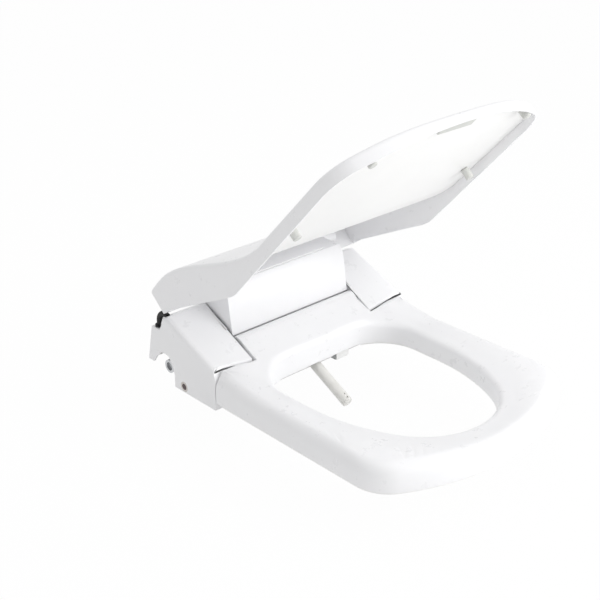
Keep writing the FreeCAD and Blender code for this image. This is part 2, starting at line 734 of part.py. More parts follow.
def rear_cover():
    cover = body("rear_cover_body")
    drawn = sketch(cover, "rear_side", "YZ_Plane")
    profile(drawn, [
        ("housing_back", "rear_floor"), ("step_back", "step_up"),
        ("lid_axis_back + 12.4", "step_up"), ("lid_axis_back + 12.4", "step_up - skin"),
        ("step_back - skin", "step_up - skin"), ("housing_back - skin", "rear_floor")])
    pad(cover, "rear_plate", drawn, "2 * (shoulder_inner - slip)", both=True)
    drawn = sketch(cover, "gland_side", "XZ_Plane")
    disc(drawn, "90", "45", "6.05")
    pocket(cover, "gland_hole", drawn, "200", both=True)
    return keep(cover, "rear_cover")


def base_pan():
    floor = block("pan_floor", ("-seat_width / 2 + 3.3", "seat_width / 2 - 3.3"),
                  ("-shoulder_front + skin + 0.5", "arch_foot"), ("0", "pan"))
    riser = block("pan_riser", ("-centre_half", "seat_width / 2 - 3.3"),
                  ("arch_foot - pan", "arch_foot"), ("0", "rear_floor + pan"))
    shelf = block("pan_shelf", ("-centre_half", "seat_width / 2 - 3.3"),
                  ("arch_foot - pan", "housing_back - skin - 1"), ("rear_floor", "rear_floor + pan"))
    rails = []
    for side in (-1, 1):
        for index, (near, far, low) in enumerate((("101", "104", "0"), ("94", "101", "plate_thick + 0.3"))):
            ends = (near, far) if side > 0 else ("-" + far, "-" + near)
            rails.append(block("rail_%d_%d" % (side + 1, index), ends, ("-30", "10"),
                               (low, "plate_thick + 3.3")))
    plate_way = block("plate_way", ("-101", "101"), ("-30.5", "10.5"), ("-1", "plate_thick + 0.3"))
    screw_ways = []
    for index, x in enumerate(("-104", "104", "-150", "150")):
        for kind, size, top in (("stem", "1.85", "pan + 1"), ("head", "3.3", "1.6")):
            screw_ways.append(rod("screw_%s_way_%d" % (kind, index), "Z", size, ("-1", top),
                                  x, "-shoulder_front + 12"))
    whole = join("pan_whole", floor, riser, shelf, *rails)
    keep(cut("base_pan", whole, plate_way, nozzle_way("pan_nozzle_way"), duct_way("pan_duct_way"),
             *screw_ways), "base_pan")
    screws = []
    for index, x in enumerate(("-104", "104", "-150", "150")):
        screws.append(join("screw_%d" % index,
                           rod("screw_stem_%d" % index, "Z", "1.8", ("1.6", "12"), x, "-shoulder_front + 12"),
                           rod("screw_head_%d" % index, "Z", "3.2", ("0.1", "1.6"), x, "-shoulder_front + 12")))
    keep(group("screws", *screws), "cover_screws")


def mounting():
    plate = block("plate_blank", ("-100", "100"), ("-30", "10"), ("0", "plate_thick"))
    seats, discs = [], []
    for side in (-1, 1):
        x = "bolt_spacing / 2 * %d" % side
        seats.append(rod("adjuster_seat_%d" % (side + 1), "Z", "9.5", ("-1", "plate_thick + 1"), x, "0"))
        discs.append(tube("adjuster_%d" % (side + 1), "Z", "9.5", "bolt_hole", ("0", "plate_thick"), x, "0"))
    keep(cut("mounting_plate", plate, *seats), "mounting_plate")
    keep(group("adjusters", *discs), "bolt_adjusters")
    keep(rod("button", "X", "8", ("seat_width / 2 - 9", "seat_width / 2"), "-5", "13.5"), "release_button")
    keep(rod("latch", "X", "3", ("shoulder_inner + 2", "seat_width / 2 - 9"), "-5", "13.5"),
         "release_latch")


# ---- nozzle ----

def toothed(name, outline_points, thick):
    made = doc.addObject("Part::Feature", name)
    wire = Part.makePolygon([Vector(*point) for point in outline_points + outline_points[:1]])
    made.Shape = Part.Face(wire).extrude(Vector(0, 0, thick))
    return made


def pinion_and_rack():
    """A straight rack beside the nozzle tube and the pinion that drives it, in mesh at rest."""
    teeth, module = int(number("pinion_teeth")), number("tooth_module")
    pitch, slack, thick = math.pi * module, 0.3, 6.0
    roll, tall, deep = teeth * module / 2, 0.75 * module, 1.25 * module
    slant = math.tan(math.radians(20))
    half = pitch / 4 - slack / 2
    back, face = number("nozzle_radius"), number("nozzle_radius") + 4.5
    first, last = 22.0, 98.0
    wheel_y = 94.0
    points = [(back, first, -thick / 2)]
    count = int((last - first) / pitch)
    start = wheel_y - round((wheel_y - first) / pitch - 1) * pitch
    for index in range(count):
        middle = start + index * pitch
        if middle + pitch / 2 > last:
            break
        root, crest = half + deep * slant, half - tall * slant
        for reach, step in ((-deep, -root), (tall, -crest), (tall, crest), (-deep, root)):
            points.append((face + reach, middle + step, -thick / 2))
    points.insert(1, (face - deep, first, -thick / 2))
    points += [(face - deep, last, -thick / 2), (back, last, -thick / 2)]
    rack = toothed("nozzle_rack_blank", points, thick)
    keep(tilted(rack), "nozzle_rack")
    centre = face + roll
    wheel = []
    for index in range(teeth):
        turn = 2 * math.pi * (index + 0.5) / teeth
        wide = half / roll
        for reach, step in ((-deep, -1.45 * wide), (0, -wide), (tall, -0.6 * wide),
                            (tall, 0.6 * wide), (0, wide), (-deep, 1.45 * wide)):
            angle = math.pi + turn + step
            wheel.append((centre + (roll + reach) * math.cos(angle),
                          wheel_y + (roll + reach) * math.sin(angle), -thick / 2))
    keep(tilted(cut("pinion_cut", toothed("pinion_blank", wheel, thick),
                    rod("pinion_bore", "Z", "2.05", ("-10", "10"), centre, wheel_y))), "drive_pinion")
    motor = join("motor_whole",
                 rod("motor_can", "Z", "10", ("-20", "-4"), centre, wheel_y),
                 rod("motor_shaft", "Z", "2", ("-4", "3"), centre, wheel_y),
                 block("motor_ear", ("9.3", "%s + 14" % centre), ("84", "%s + 7" % wheel_y), ("-5.4", "-4")))
    keep(tilted(motor), "nozzle_motor")


def nozzle():
    rear = "nozzle_length - nozzle_out"
    joint = "20 - nozzle_out"
    keep(tilted(tube("nozzle_pipe", "Y", "nozzle_radius", "nozzle_radius - 2", (joint, rear), "0", "0")),
         "nozzle_tube")
    solid = rod("tip_solid", "Y", "nozzle_radius", ("-nozzle_out", joint), "0", "0")
    soft = doc.addObject("Part::Fillet", "tip_rounded")
    soft.Base = solid
    doc.recompute()
    front = [index for index, edge in enumerate(solid.Shape.Edges, start=1)
             if abs(edge.BoundBox.YMax + number("nozzle_out")) < 0.1 and edge.Length > 30]
    soft.Edges = [(index, 2.5, 2.5) for index in front]
    holes = [rod("spray_%d" % index, "Z", "1.3", ("2", "nozzle_radius + 2"), "0", y)
             for index, y in enumerate(("-nozzle_out + 6", "-nozzle_out + 13"))]
    keep(tilted(cut("tip_cut", soft, *holes)), "nozzle_tip")
    port = join("port_whole", rod("port_plug", "Y", "nozzle_radius - 2", (rear + " - 3", rear), "0", "0"),
                rod("port_stem", "Y", "3", (rear, rear + " + 9"), "0", "0"))
    bore = rod("port_bore", "Y", "1.8", (rear + " - 4", rear + " + 10"), "0", "0")
    keep(tilted(cut("port", port, bore)), "nozzle_hose_port")
    trough = tube("trough_ring", "Y", "nozzle_radius + 3", "nozzle_radius + 0.4", ("35", "84"), "0", "0")
    trim = block("trough_trim", ("-20", "20"), ("30", "90"), ("-3.5", "20"))
    half = tilted(cut("trough", trough, trim))
    leg = block("leg", ("-6", "6"), ("-44", "-33"), ("pan", "20"))
    way = tilted(rod("cradle_way", "Y", "nozzle_radius + 2", ("10", "105"), "0", "0"))
    keep(join("cradle", half, cut("leg_cut", leg, way)), "nozzle_cradle")


# ---- water ----

def water():
    stem = join("nipple_whole",
                rod("nipple_end", "X", "inlet_radius", ("-inlet_end", "-inlet_end + 17"), "inlet_back", "inlet_up"),
                rod("nipple_neck", "X", "inlet_radius - 1.4", ("-inlet_end + 17", "-inlet_end + 24"),
                    "inlet_back", "inlet_up"))
    bore = rod("nipple_bore", "X", "6.5", ("-inlet_end - 1", "-inlet_end + 25"), "inlet_back", "inlet_up")
    keep(cut("nipple", stem, bore), "inlet_nipple")
    nut = doc.addObject("Part::Prism", "nut_blank")
    nut.Polygon = 6
    tie(nut, "Circumradius", "inlet_radius + 4.6")
    tie(nut, "Height", "7")
    nut.Placement = FreeCAD.Placement(Vector(), FreeCAD.Rotation(Vector(0, 1, 0), 90))
    place(nut, "-inlet_end + 17", "inlet_back", "inlet_up")
    keep(cut("nut", nut, rod("nut_bore", "X", "inlet_radius - 1.38",
                             ("-inlet_end + 16", "-inlet_end + 26"), "inlet_back", "inlet_up")),
         "inlet_nut")
    keep(rod("strainer", "X", "6.3", ("-inlet_end + 3", "-inlet_end + 20"), "inlet_back", "inlet_up"),
         "inlet_strainer")
    case = block("valve_case", ("-inlet_end + 24", "-inlet_end + 56"), ("24", "58"), ("8", "44"))
    coil = rod("valve_coil", "Z", "13", ("44", "72"), "-inlet_end + 40", "38")
    keep(join("valve", case, coil), "solenoid_valve")
    keep(rod("feed", "X", "4", ("-inlet_end + 56", "-96"), "34", "40"), "tank_hose")
    outer = block("tank_outer", ("-96", "-38"), ("4", "44"), ("34", "104"))
    inner = block("tank_inner", ("-94", "-40"), ("6", "42"), ("36", "102"))
    keep(cut("tank", outer, inner), "water_tank")
    rods = [rod("heater_rod_%d" % index, "Z", "3", ("36", "92"), x, "24")
            for index, x in enumerate(("-80", "-67", "-54"))]
    keep(group("heater", *rods), "tank_heater")
    keep(join("flow", block("flow_case", ("-38", "-12"), ("8", "34"), ("72", "96")),
              rod("flow_motor", "Z", "10", ("96", "114"), "-25", "21")), "flow_valve")
    keep(hose_shape("hose", "hose_radius"), "inlet_hose")
    keep(tube("grommet", "Z", "hose_radius + 2.6", "hose_radius + 0.05", ("step_up", "step_up + 3"),
              hose_x, hose_y), "hose_grommet")


# ---- air ----

def fan_wheel(label, size, wide, x, y, z):
    """A radial fan wheel on an axis along X: a disc, a hub and twelve blades."""
    wheel = body(label + "_body")
    drawn = sketch(wheel, label + "_disc_side", "YZ_Plane")
    disc(drawn, "0", "0", size)
    disc(drawn, "0", "0", "2.05")
    pad(wheel, label + "_disc", drawn, "1.5")
    drawn = sketch(wheel, label + "_hub_side", "YZ_Plane", "1.4")
    disc(drawn, "0", "0", "6")
    disc(drawn, "0", "0", "2.05")
    pad(wheel, label + "_hub", drawn, "(%s) - 3" % wide)
    drawn = sketch(wheel, label + "_blade_side", "YZ_Plane", "1.4")
    rectangle(drawn, ("(%s) - 6" % size, "(%s) - 0.4" % size), ("-0.6", "0.6"))
    blade = pad(wheel, label + "_blade", drawn, "(%s) - 1.4" % wide)
    axis = [item for item in wheel.Origin.OriginFeatures if item.Role == "X_Axis"][0]
    ring = wheel.newObject("PartDesign::PolarPattern", label + "_blades")
    ring.Originals = [blade]
    ring.Axis = (axis, [""])
    ring.Angle = 360
    ring.Occurrences = 12
    wheel.Tip = ring
    place(wheel, x, y, z)
    return keep(wheel, label)


def fan_housing(label, size, low, high, y, z, floor):
    """A round fan case with an inlet port, an outlet spigot below and a foot on the floor."""
    inner = ("(%s) + 1.8" % low, "(%s) - 1.8" % high)
    case = rod(label + "_case", "X", "(%s) + 4.5" % size, (low, high), y, z)
    spigot = block(label + "_spigot", (low, high), ("%s - %s - 8" % (y, size), y),
                   ("%s - %s - 4" % (z, size), "%s - %s / 2 - 1" % (z, size)))
    foot = block(label + "_foot", (low, high), (y, "%s + 6" % y), (floor, "%s - %s" % (z, size)))
    space = rod(label + "_space", "X", "(%s) + 2.5" % size, inner, y, z)
    port = rod(label + "_port", "X", "(%s) * 0.6" % size, ("(%s) - 3" % high, "(%s) + 1" % high), y, z)
    axle = rod(label + "_axle_way", "X", "2.05", ("(%s) - 1" % low, "(%s) + 3" % low), y, z)
    outlet = block(label + "_outlet", inner, ("%s - %s - 9" % (y, size), y),
                   ("%s - %s - 2.4" % (z, size), "%s - %s / 2 - 2.6" % (z, size)))
    return keep(cut(label, join(label + "_whole", case, spigot, foot), space, port, axle, outlet), label)


def air():
    low, high, y, z = "45", "69", "16", "54.5"
    shelf = "rear_floor + pan"
    fan_housing("dryer_fan_housing", "fan_radius", low, high, y, z, shelf)
    fan_wheel("dryer_fan_wheel", "fan_radius", "16", "51", y, z)
    keep(join("dryer_motor_whole", rod("dryer_can", "X", "9", ("31", low), y, z),
              rod("dryer_axle", "X", "2", (low, "64"), y, z)), "dryer_motor")
    owner = body("dryer_duct_body")
    drawn = sketch(owner, "duct_side", "YZ_Plane")
    profile(drawn, [("-80.2", "-4.8"), ("-80.2", "7"), ("-75.8", "7"), ("-22", "42"), ("-14.3", "42"),
                    ("-14.3", "28.5"), ("-24", "28.5"), ("-58", "4.2"), ("-64", "-4.8")])
    pad(owner, "duct_block", drawn, "28", both=True)
    drawn = sketch(owner, "duct_hollow_side", "YZ_Plane")
    profile(drawn, [("-82", "-3.2"), ("-82", "5.4"), ("-75.4", "5.4"), ("-21.6", "40.4"), ("-12", "40.4"),
                    ("-12", "30.1"), ("-24.5", "30.1"), ("-58.6", "5.8"), ("-64.6", "-3.2")])
    pocket(owner, "duct_hollow", drawn, "24.8", both=True)
    place(owner, "57", "0", "0")
    keep(owner, "dryer_duct")
    leaf = block("flap_leaf", ("44", "70"), ("-82.2", "-80.7"), ("-5", "6.5"))
    pin = rod("flap_pin", "X", "1.1", ("44", "70"), "-81.5", "6.6")
    keep(join("flap", leaf, pin), "dryer_flap")
    cartridge = block("cartridge_outer", ("133", "seat_width / 2"), ("-50", "-20"), ("8", "38"))
    core = block("cartridge_core", ("136", "seat_width / 2 - 4"), ("-47", "-23"), ("5", "34"))
    keep(cut("cartridge", cartridge, core), "filter_cartridge")
    guide = block("guide_outer", ("131", "seat_width / 2 - 3.2"), ("-52.4", "-17.6"), ("5", "40.4"))
    way = block("guide_way", ("132.4", "seat_width / 2 + 2"), ("-50.4", "-19.6"), ("7.6", "38.4"))
    vent = rod("guide_vent", "X", "10", ("125", "140"), "-35", "23")
    keep(cut("guide", guide, way, vent), "filter_guide")
    fan_housing("odour_fan_housing", "12", "146", "162", "30", "58", shelf)
    fan_wheel("odour_fan_wheel", "12", "10", "149.5", "30", "58")
    keep(join("odour_motor_whole", rod("odour_can", "X", "7", ("136", "146"), "30", "58"),
              rod("odour_axle", "X", "2", ("146", "158"), "30", "58")), "odour_motor")


# ---- electrics ----

def electrics():
    keep(block("board", ("36", "108"), ("44", "45.6"), ("66", "130")), "circuit_board")
    standoffs = [rod("standoff_%d" % index, "Y", "3", ("45.6", "lid_axis_back + 12 - skin"), x, z)
                 for index, (x, z) in enumerate((("42", "100"), ("102", "100"), ("42", "124"), ("102", "124")))]
    keep(group("standoffs", *standoffs), "board_standoffs")
    keep(block("transformer", ("50", "78"), ("20", "44"), ("84", "112")), "transformer")
    cans = [rod("can_%d" % index, "Y", "6", ("26", "44"), x, "92") for index, x in enumerate(("88", "101"))]
    keep(group("cans", *cans), "capacitors")
    keep(tube("bezel", "X", "window_radius + 3", "window_radius", ("-seat_width / 2", "skin - seat_width / 2"),
              "-window_front", "window_up"), "window_bezel")
    keep(rod("lens", "X", "window_radius", ("0.4 - seat_width / 2", "skin - seat_width / 2"),
             "-window_front", "window_up"), "window_lens")
    keep(block("receiver", ("skin - seat_width / 2 + 0.2", "skin - seat_width / 2 + 7"),
               ("-window_front - 6", "-window_front + 6"), ("window_up - 5", "window_up + 6")), "ir_receiver")
    keep(tube("gland", "Y", "6", "3.6", ("63", "housing_back"), "90", "45"), "cord_gland")
    keep(block("cap", ("-86", "86"), ("-8", "lid_axis_back - 4"), ("hump_top", "hump_top + 2.6")),
         "hinge_cover")


seat_top_shell()
seat_bottom_shell()
seat_heater_foil()
seat_fittings()
hinges()
lid_outer_shell()
lid_inner_panel()
lid_fittings()
side_cover("left_side_cover", "-seat_width / 2", "-shoulder_inner")
side_cover("right_side_cover", "seat_width / 2", "shoulder_inner")
centre_cover()
rear_cover()
base_pan()
mounting()
nozzle()
pinion_and_rack()
water()
air()
electrics()

doc.recompute()
for thing in doc.Objects:
    if "Invalid" in thing.State or "Error" in thing.State:
        raise RuntimeError("failed: %s %s" % (thing.Label, thing.State))
os.makedirs("parts", exist_ok=True)
for thing in nodes:
    shape = thing.Shape
    if shape.isNull() or not shape.isValid() or not shape.Solids:
        raise RuntimeError("bad shape: " + thing.Label)
    shape.exportStep("parts/%s.step" % thing.Label)
print(len(nodes), "nodes")
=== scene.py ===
import json
import math

import bmesh
import bpy
from mathutils import Matrix, Vector
from mathutils.kdtree import KDTree

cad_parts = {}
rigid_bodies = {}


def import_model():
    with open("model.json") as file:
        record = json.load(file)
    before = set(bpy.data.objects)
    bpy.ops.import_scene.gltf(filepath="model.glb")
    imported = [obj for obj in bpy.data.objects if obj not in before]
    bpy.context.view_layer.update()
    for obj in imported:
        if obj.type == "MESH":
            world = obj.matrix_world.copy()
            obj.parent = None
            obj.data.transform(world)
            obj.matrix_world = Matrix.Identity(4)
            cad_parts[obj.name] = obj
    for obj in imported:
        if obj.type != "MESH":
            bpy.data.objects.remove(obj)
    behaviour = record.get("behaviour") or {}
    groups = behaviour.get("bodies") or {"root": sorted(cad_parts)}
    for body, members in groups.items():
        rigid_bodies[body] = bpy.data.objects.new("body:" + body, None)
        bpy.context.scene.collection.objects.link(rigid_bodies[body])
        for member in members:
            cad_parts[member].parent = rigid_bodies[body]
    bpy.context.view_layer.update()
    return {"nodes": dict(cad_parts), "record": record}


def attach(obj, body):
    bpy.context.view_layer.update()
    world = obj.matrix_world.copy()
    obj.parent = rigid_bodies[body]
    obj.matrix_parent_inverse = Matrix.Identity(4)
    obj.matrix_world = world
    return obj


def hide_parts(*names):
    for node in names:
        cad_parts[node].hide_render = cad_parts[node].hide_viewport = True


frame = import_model()
nodes = frame["nodes"]
joints = {joint["name"]: joint for joint in frame["record"]["behaviour"]["joints"]}
print("frame loaded,", len(nodes), "nodes")


# small helpers for working by hand

def deselectAll():
    if bpy.context.mode != "OBJECT":
        bpy.ops.object.mode_set(mode="OBJECT")
    for thing in bpy.context.view_layer.objects:
        thing.select_set(False)


def pickUp(piece):
    deselectAll()
    piece.select_set(True)
    bpy.context.view_layer.objects.active = piece


def edit(piece):
    pickUp(piece)
    bpy.ops.object.mode_set(mode="EDIT")


def done():
    bpy.ops.object.mode_set(mode="OBJECT")


def select(kind, test):  # kind is VERT, EDGE or FACE; the test is given each one
    piece = bpy.context.object
    bpy.ops.mesh.select_mode(type=kind)
    bpy.ops.mesh.select_all(action="DESELECT")
    mesh = bmesh.from_edit_mesh(piece.data)
    parts = {"VERT": mesh.verts, "EDGE": mesh.edges, "FACE": mesh.faces}[kind]
    count = 0
    for part in parts:
        if test(part):
            part.select_set(True)
            count += 1
    mesh.select_flush_mode()
    bmesh.update_edit_mesh(piece.data)
    return count


def startOutline(name, x, y, z):  # a plane merged to one point, from which an outline is drawn
    deselectAll()
    bpy.ops.mesh.primitive_plane_add(size=0.001, location=(x, y, z))
    piece = bpy.context.object
    piece.name = name
    bpy.ops.object.transform_apply(location=True)
    bpy.ops.object.mode_set(mode="EDIT")
    bpy.ops.mesh.select_mode(type="VERT")
    bpy.ops.mesh.select_all(action="SELECT")
    bpy.ops.mesh.merge(type="CENTER")
    return piece


def lastPoint():
    mesh = bmesh.from_edit_mesh(bpy.context.object.data)
    return [vert.co.copy() for vert in mesh.verts if vert.select][-1]


def lineTo(x, y, z, steps=1):
    here = lastPoint()
    stride = (Vector((x, y, z)) - here) / steps
    for _ in range(steps):
        bpy.ops.mesh.extrude_vertices_move(TRANSFORM_OT_translate={"value": stride})


def arcRound(centre, angle, steps, axis=(0, 0, 1)):  # positive angles turn left
    bpy.ops.mesh.spin(steps=steps, angle=-angle, center=centre, axis=axis)


def mergeEnds():
    bpy.ops.mesh.select_all(action="SELECT")
    bpy.ops.mesh.remove_doubles(threshold=0.00005)


def useModifier(piece, kind, **settings):
    pickUp(piece)
    modifier = piece.modifiers.new(kind.lower(), kind)
    for key, value in settings.items():
        setattr(modifier, key, value)
    bpy.ops.object.modifier_apply(modifier=modifier.name)


def smooth(piece, degrees=35):
    pickUp(piece)
    bpy.ops.object.shade_smooth_by_angle(angle=math.radians(degrees))


def copyOfNode(name, label):  # a working copy of a CAD part, with its triangles joined back up
    mesh = nodes[name].data.copy()
    piece = bpy.data.objects.new(label, mesh)
    bpy.context.scene.collection.objects.link(piece)
    mesh.name = label
    edit(piece)
    bpy.ops.mesh.select_all(action="SELECT")
    bpy.ops.mesh.remove_doubles(threshold=0.00002)
    bpy.ops.mesh.dissolve_limited(angle_limit=math.radians(1.5))
    done()
    piece.data.materials.clear()
    return piece


def joined(pieces, name):
    pickUp(pieces[0])
    for piece in pieces:
        piece.select_set(True)
    bpy.ops.object.join()
    piece = bpy.context.object
    piece.name = name
    return piece


def blendStep(low, high, value):
    t = max(0.0, min(1.0, (value - low) / (high - low)))
    return t * t * (3 - 2 * t)


# seat ring

seatLook = {
    "halfWidth": 0.1948, "tip": 0.4518, "rear": 0.0815, "corner": 0.060, "front": 0.330,
    "holeHalf": 0.135, "holeRear": 0.091, "holeCorner": 0.068, "holeStraight": 0.205, "holeTip": 0.398,
    "holeFront": 0.115, "foot": 0.0122, "top": 0.0498, "dish": 0.0075, "dishWidth": 0.058,
    "outerRound": 0.020, "innerRound": 0.009, "barHalf": 0.1182, "rampSlope": 27.5, "knuckle": 0.0138,
    "hingeBack": -0.038, "hingeUp": 0.061, "shoulderRise": 0.0065, "riseFrom": 0.115, "riseFull": 0.160,
    "riseStart": -0.165, "riseEnd": -0.082, "sideLift": 0.004, "rampBlend": 0.006, "barSkin": 0.0118}


def outlineLoop(name, z, half, tip, rear, corner, front, steps):
    side = half - corner
    middle = -tip + front
    drop = math.sqrt((front - corner) ** 2 - side ** 2)
    level = middle - drop
    turn = math.atan2(drop, side)
    piece = startOutline(name, -half, -rear, z)
    lineTo(-half, level, z, steps["side"])
    arcRound((-side, level, z), turn, steps["corner"])
    arcRound((0, middle, z), math.pi - 2 * turn, steps["front"])
    arcRound((side, level, z), turn, steps["corner"])
    lineTo(half, -rear, z, steps["side"])
    return piece


def seatRing(look):
    ring = outlineLoop("seatRing", look["foot"], look["halfWidth"], look["tip"], look["rear"],
                       look["corner"], look["front"], {"side": 14, "corner": 12, "front": 26})
    slope = math.radians(look["rampSlope"])
    rampBack = look["hingeBack"] - look["knuckle"] * math.sin(slope)
    rampTop = look["hingeUp"] + look["knuckle"] * math.cos(slope)
    bar = look["barHalf"]
    foot = look["foot"]
    lineTo(bar, -look["rear"], foot, 6)
    lineTo(bar, rampBack, foot, 4)
    lineTo(-bar, rampBack, foot, 14)
    lineTo(-bar, -look["rear"], foot, 4)
    lineTo(-look["halfWidth"], -look["rear"], foot, 6)
    mergeEnds()
    done()
    half, corner = look["holeHalf"], look["holeCorner"]
    rear, straight = -look["holeRear"], -look["holeStraight"]
    nose = look["holeFront"]
    middle = -look["holeTip"] + nose
    fall = middle - straight
    side = (half ** 2 + fall ** 2 - nose ** 2) / (2 * (half - nose))
    turn = math.atan2(abs(fall), abs(side - half))
    hole = startOutline("seatHole", -half + corner, rear, foot)
    arcRound((-half + corner, rear - corner, foot), math.pi / 2, 12)
    lineTo(-half, straight, foot, 8)
    arcRound((-half + side, straight, foot), turn, 16)
    arcRound((0, middle, foot), math.pi - 2 * turn, 26)
    arcRound((half - side, straight, foot), turn, 16)
    lineTo(half, rear - corner, foot, 8)
    arcRound((half - corner, rear - corner, foot), math.pi / 2, 12)
    lineTo(-half + corner, rear, foot, 14)
    mergeEnds()
    done()
    holeTree = KDTree(len(hole.data.vertices))
    for index, vert in enumerate(hole.data.vertices):
        holeTree.insert((vert.co.x, vert.co.y, 0), index)
    holeTree.balance()
    seat = joined([ring, hole], "seatRing")
    edit(seat)
    bpy.ops.mesh.select_all(action="SELECT")
    bpy.ops.mesh.bridge_edge_loops()
    bpy.ops.mesh.select_all(action="SELECT")
    bpy.ops.mesh.extrude_region_move(TRANSFORM_OT_translate={"value": (0, 0, look["top"] - foot)})
    bpy.ops.mesh.select_all(action="SELECT")
    bpy.ops.mesh.normals_make_consistent(inside=False)

    def onTop(edge):
        return all(vert.co.z > look["top"] - 1e-5 for vert in edge.verts)

    def wallEdge(edge):
        return onTop(edge) and any(abs(face.normal.z) < 0.5 for face in edge.link_faces)

    def nearHole(edge):
        mid = (edge.verts[0].co + edge.verts[1].co) / 2
        return holeTree.find((mid.x, mid.y, 0))[2] < 0.006

    def outside(edge):
        return not nearHole(edge) and all(vert.co.y < -look["rear"] + 1e-4 for vert in edge.verts) and \
            not all(abs(vert.co.y + look["rear"]) < 1e-4 for vert in edge.verts)

    select("EDGE", lambda edge: wallEdge(edge) and outside(edge))
    bpy.ops.mesh.bevel(offset=look["outerRound"], segments=9, affect="EDGES", clamp_overlap=False)
    select("EDGE", lambda edge: wallEdge(edge) and nearHole(edge))
    bpy.ops.mesh.bevel(offset=look["innerRound"], segments=6, affect="EDGES", clamp_overlap=False)
    select("EDGE", lambda edge: edge.calc_length() > 0.012 and
           all(abs(face.normal.z) > 0.9 for face in edge.link_faces))
    bpy.ops.mesh.subdivide(number_cuts=9)
    done()

    def topHeight(x, y):
        near = holeTree.find((x, y, 0))[2]
        flat = look["top"] - look["dish"] * (1 - blendStep(0, look["dishWidth"], near))
        ramp = rampTop - (rampBack - y) * math.tan(slope)
        soft = look["rampBlend"]
        gap = (ramp - flat) / soft
        top = flat + soft * math.log(1 + math.exp(max(-30, min(30, gap)))) if gap < 30 else ramp
        wide = abs(x)
        along = blendStep(look["riseStart"], look["riseEnd"], y)
        rise = blendStep(look["riseFrom"], look["riseFull"], wide) * look["shoulderRise"] * along
        lift = along * look["sideLift"]
        if wide > bar:
            top = min(top, look["top"] + lift + 0.0003) + rise
        return top

    for vert in seat.data.vertices:
        x, y, z = vert.co
        top = topHeight(x, y)
        low = foot
        if y > -0.0885 and abs(x) < bar + 0.0005:
            low = max(foot, rampTop - (rampBack - y) * math.tan(slope) - look["barSkin"] / math.cos(slope))
        vert.co.z = low + (z - foot) * (top - low) / (look["top"] - foot)
    deselectAll()
    bpy.ops.mesh.primitive_cylinder_add(vertices=64, radius=look["knuckle"], depth=2 * bar,
                                        location=(0, look["hingeBack"], look["hingeUp"]),
                                        rotation=(0, math.pi / 2, 0))
    knuckle = bpy.context.object
    bpy.ops.object.transform_apply(location=True, rotation=True)
    edit(knuckle)
    select("FACE", lambda face: abs(face.normal.x) > 0.9)
    bpy.ops.mesh.inset(thickness=0.0075)
    bpy.ops.mesh.delete(type="FACE")
    done()
    useModifier(knuckle, "SOLIDIFY", thickness=0.003, offset=-1)
    seat = joined([seat, knuckle], "seatRing")
    useModifier(seat, "BEVEL", width=0.0012, segments=3, limit_method="ANGLE", angle_limit=math.radians(50))
    smooth(seat, 40)
    return seat


seat = seatRing(seatLook)
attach(seat, "seat")
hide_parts("seat_top_shell")
print("seat ring made")


# lid, modelled closed and then turned to where it rests

lidLook = {
    "halfWidth": 0.1948, "tip": 0.4566, "rear": -0.0545, "corner": 0.060, "front": 0.330,
    "rim": 0.0525, "highTop": 0.1578, "lowTop": 0.0748, "fallFront": -0.215, "fallBack": 0.030,
    "noseDrop": 0.0088, "noseStart": -0.425, "topRound": 0.007, "rearRound": 0.010, "wall": 0.0031,
    "rimSlopeFoot": (-0.125, 0.0525), "rimSlopeMid": (-0.080, 0.0662), "rimSlopeTop": (0.034, 0.1118),
    "gapHalf": 0.121, "gapFrom": 0.041, "armRound": 0.0098, "armReach": 0.0275, "open": 48,
    "frontFall": 0.0025, "frontRun": 0.212, "blockTall": 0.060, "slices": 72, "armWeb": 0.009}


def lidTop(look, y):
    fall = blendStep(look["fallFront"], look["fallBack"], y)
    nose = max(0.0, (look["noseStart"] - y) / (look["noseStart"] + look["tip"])) ** 2
    slope = look["frontFall"] * max(0.0, min(1.0, (look["fallFront"] - y) / look["frontRun"]))
    level = look["lowTop"] + (look["highTop"] - look["lowTop"]) * fall
    return level - slope - (look["noseDrop"] - look["frontFall"]) * nose


def lidRim(look, y):
    foot, mid, top = look["rimSlopeFoot"], look["rimSlopeMid"], look["rimSlopeTop"]
    if y <= foot[0]:
        return look["rim"]
    if y <= mid[0]:
        t = (y - foot[0]) / (mid[0] - foot[0])
        return foot[1] + (mid[1] - foot[1]) * t * t * (1.6 - 0.6 * t)
    if y <= top[0]:
        return mid[1] + (top[1] - mid[1]) * (y - mid[0]) / (top[0] - mid[0])
    return top[1] + (y - top[0]) * 0.2


def turnedOpen(piece, look, joint):
    spot = Vector(joint["pos_m"])
    turn = Matrix.Rotation(math.radians(-look["open"]), 4, "X")
    piece.data.transform(Matrix.Translation(spot) @ turn @ Matrix.Translation(-spot))


